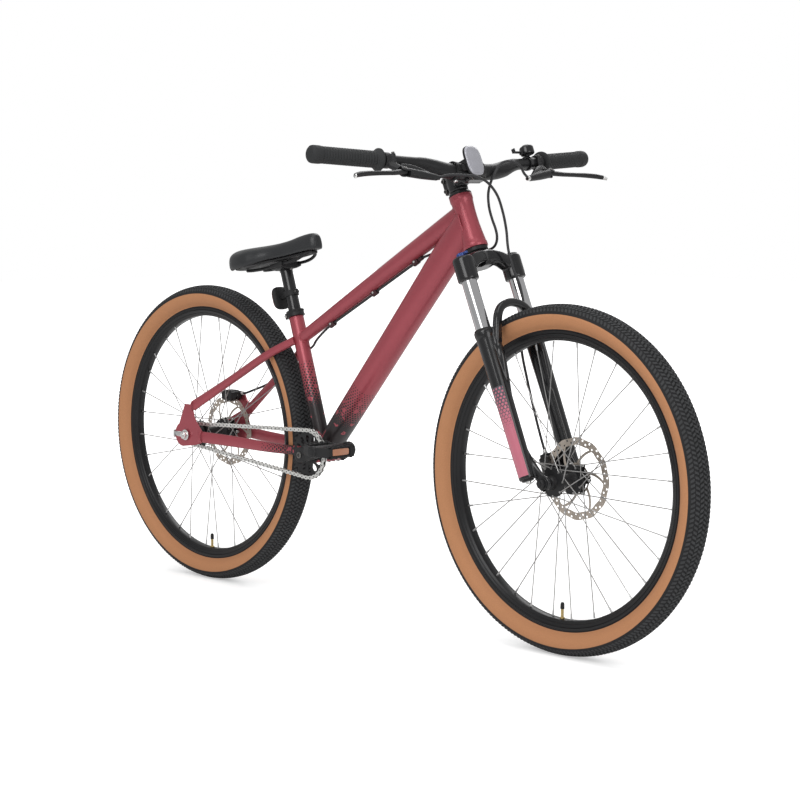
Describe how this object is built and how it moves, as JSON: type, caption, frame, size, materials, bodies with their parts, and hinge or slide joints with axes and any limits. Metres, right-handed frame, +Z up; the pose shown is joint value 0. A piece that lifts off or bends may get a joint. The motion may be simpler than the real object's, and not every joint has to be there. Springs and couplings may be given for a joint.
{
  "type": "bicycle",
  "caption": "Dirt jump bicycle with a red hardtail frame, suspension fork, disc brakes, tan wall tyres, one gear, low saddle and riser bar.",
  "frame": {"origin": "on the ground under the middle of the bicycle, midway between the two axles", "axes": "+X forward, +Y to the rider's left, +Z up; the drive side is at -Y"},
  "size_m": [1.736, 0.7686, 0.9737],
  "materials": {
    "tyre": "matt block tread with tan side walls",
    "rim": "satin black",
    "hub": "bright spokes, dark hub shell",
    "rotor": "ground steel with a black carrier",
    "valve": "brass with a black cap",
    "frame_paint": "satin dusty red fading to black in dots near the bottom bracket",
    "black_metal": "black, gloss or satin",
    "steel": "bright steel",
    "stanchion_chrome": "polished chrome",
    "saddle_skin": "smooth black synthetic leather over foam",
    "black_plastic": "moulded black",
    "rubber": "matt black",
    "knob_blue": "blue",
    "red_lens": "red prismatic lens in a black housing",
    "clear_lens": "clear prismatic lens"
  },
  "bodies": {
    "frame": {"frame": "frame_paint", "headset_upper_cup": "black_metal", "headset_lower_cup": "black_metal", "bottom_bracket": "black_metal", "seat_collar": "black_metal", "rear_axle": "steel", "rear_caliper": "black_metal", "rear_brake_hose": "rubber", "chain": "steel"},
    "seat": {"seatpost": "black_metal", "seat_clamp": "black_metal", "saddle_cover": "saddle_skin", "saddle_base": "black_plastic", "saddle_rails": "steel", "rear_reflector": "red_lens", "rear_reflector_clamp": "black_plastic"},
    "fork": {"fork_crown": "black_metal", "stanchion_right": "stanchion_chrome", "stanchion_left": "stanchion_chrome", "stem": "black_metal", "stem_faceplate": "black_metal", "headset_top_cap": "black_metal", "handlebar": "black_metal", "grip_right": "rubber", "grip_left": "rubber", "brake_lever_body_right": "black_metal", "brake_lever_body_left": "black_metal", "bell_body": "black_metal", "front_reflector": "clear_lens", "front_reflector_bracket": "black_plastic", "front_brake_hose": "rubber"},
    "knob": {"preload_knob": "knob_blue"},
    "right_lever": {"brake_lever_right": "black_metal"},
    "left_lever": {"brake_lever_left": "black_metal"},
    "bell_thumb": {"bell_lever": "steel"},
    "lowers": {"fork_lowers": "black_metal", "front_axle": "steel", "front_caliper": "black_metal"},
    "front_wheel": {"front_tyre": "tyre", "front_rim": "rim", "front_hub_and_spokes": "hub", "front_rotor": "rotor", "front_valve": "valve"},
    "rear_wheel": {"rear_tyre": "tyre", "rear_rim": "rim", "rear_hub_and_spokes": "hub", "rear_rotor": "rotor", "rear_valve": "valve"},
    "cog": {"freewheel": "steel"},
    "crank": {"crank_spindle": "steel", "crank_arm_right": "black_metal", "crank_arm_left": "black_metal", "chainring": "black_metal"},
    "pedal_r": {"pedal_right": "black_plastic"},
    "pedal_l": {"pedal_left": "black_plastic"}
  },
  "joints": [
    {"name": "steer", "type": "hinge", "parent": "frame", "child": "fork", "pos_m": [0.29896, 0, 0.76863], "axis": [-0.3907, 0, 0.9205], "range_deg": [-60, 60], "deforming": ["rear_brake_hose"]},
    {"name": "fork_travel", "type": "slide", "parent": "fork", "child": "lowers", "axis": [-0.3907, 0, 0.9205], "range_m": [0, 0.08], "stiffness_N_per_m": 6000, "springref_m": -0.012, "deforming": ["front_brake_hose"]},
    {"name": "front_wheel_spin", "type": "hinge", "parent": "lowers", "child": "front_wheel", "pos_m": [0.533, 0, 0.335], "axis": [0, 1, 0], "continuous": true},
    {"name": "rear_wheel_spin", "type": "hinge", "parent": "frame", "child": "rear_wheel", "pos_m": [-0.533, 0, 0.335], "axis": [0, 1, 0], "continuous": true},
    {"name": "crank_spin", "type": "hinge", "parent": "frame", "child": "crank", "pos_m": [-0.14349, 0, 0.326], "axis": [0, 1, 0], "continuous": true, "deforming": ["chain"]},
    {"name": "freewheel_spin", "type": "hinge", "parent": "frame", "child": "cog", "pos_m": [-0.533, 0, 0.335], "axis": [0, 1, 0], "continuous": true},
    {"name": "pedal_right_spin", "type": "hinge", "parent": "crank", "child": "pedal_r", "pos_m": [0.00572, 0, 0.355], "axis": [0, 1, 0], "continuous": true},
    {"name": "pedal_left_spin", "type": "hinge", "parent": "crank", "child": "pedal_l", "pos_m": [-0.2927, 0, 0.297], "axis": [0, 1, 0], "continuous": true},
    {"name": "seat_height", "type": "slide", "parent": "frame", "child": "seat", "axis": [-0.309, 0, 0.9511], "range_m": [-0.03, 0.05]},
    {"name": "preload_turn", "type": "hinge", "parent": "fork", "child": "knob", "pos_m": [0.32545, -0.066, 0.75358], "axis": [-0.3907, 0, 0.9205], "range_deg": [-90, 0]},
    {"name": "brake_lever_right_pull", "type": "hinge", "parent": "fork", "child": "right_lever", "pos_m": [0.30814, -0.205, 0.91592], "axis": [-0.4067, 0, -0.9135], "range_deg": [0, 16], "stiffness_Nm_per_rad": 0.8, "springref_deg": -14.32},
    {"name": "brake_lever_left_pull", "type": "hinge", "parent": "fork", "child": "left_lever", "pos_m": [0.30814, 0.205, 0.91592], "axis": [0.4067, 0, 0.9135], "range_deg": [0, 16], "stiffness_Nm_per_rad": 0.8, "springref_deg": -14.32},
    {"name": "bell_lever_push", "type": "hinge", "parent": "fork", "child": "bell_thumb", "pos_m": [0.27052, 0.1585, 0.95568], "axis": [-0.3907, 0, 0.9205], "range_deg": [0, 25], "stiffness_Nm_per_rad": 0.03, "springref_deg": -11.46}
  ],
  "couplings": [
    {"joint": "freewheel_spin", "follows": "crank_spin", "ratio": 2.0833}
  ]
}
